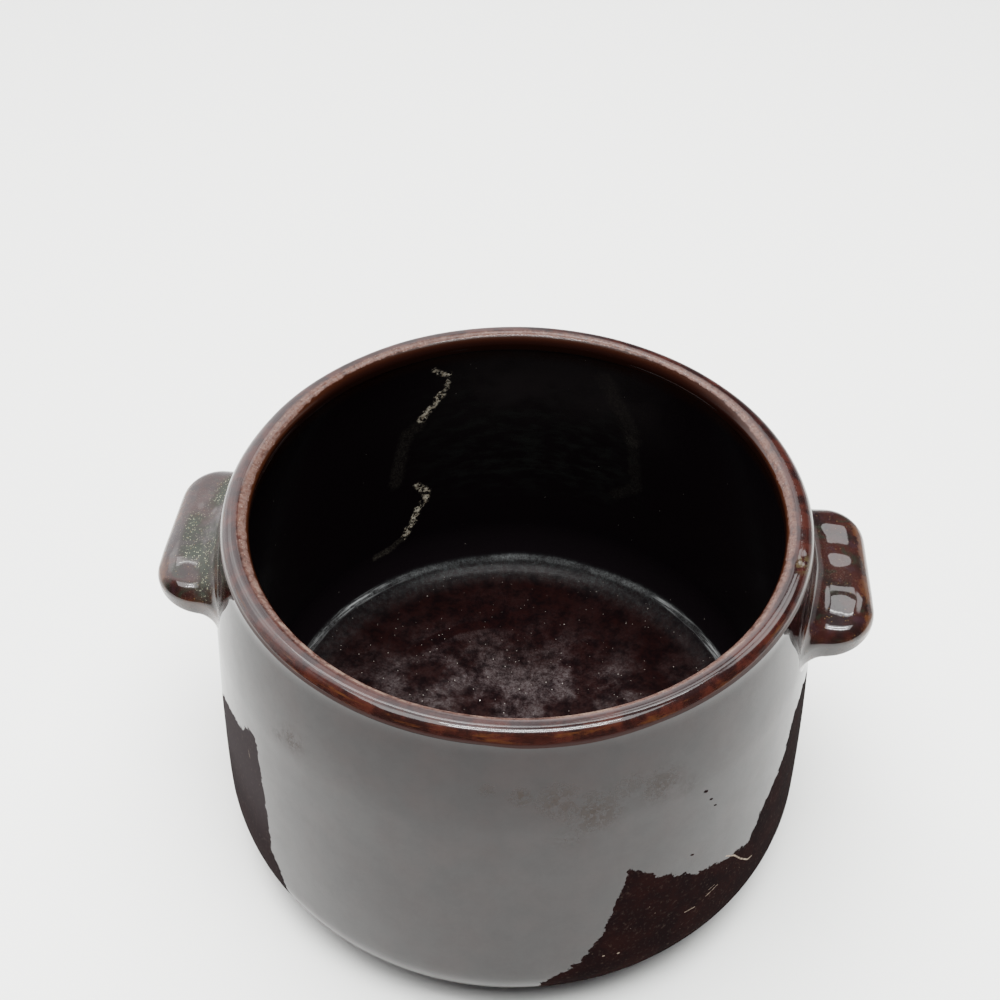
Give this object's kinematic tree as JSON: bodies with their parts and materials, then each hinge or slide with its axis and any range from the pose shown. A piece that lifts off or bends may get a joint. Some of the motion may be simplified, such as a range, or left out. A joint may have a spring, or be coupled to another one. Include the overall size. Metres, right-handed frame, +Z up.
{
  "type": "bean pot",
  "caption": "Open round stoneware bean pot with barrel sides, a rolled rim, solid block lugs for lifting and a low foot ring, glazed dark brown; for baking and serving.",
  "frame": {"origin": "on the pot's axis, at the plane that the foot ring stands on", "axes": "+Z up along the pot's axis; the lugs lie along X, with right_lug at +X and left_lug at -X"},
  "size_m": [0.2022, 0.1818, 0.1225],
  "materials": {
    "body_glaze": "dark brown gloss glaze",
    "rim_glaze": "gloss glaze, worn thin to rust brown",
    "lug_glaze": "gloss glaze, thin and rust brown on its edges",
    "bare_clay": "unglazed buff stoneware, matt"
  },
  "bodies": {
    "root": {"pot_body": "body_glaze", "rim_bead": "rim_glaze", "foot_ring": "bare_clay", "left_lug": "lug_glaze", "right_lug": "lug_glaze"}
  },
  "joints": []
}
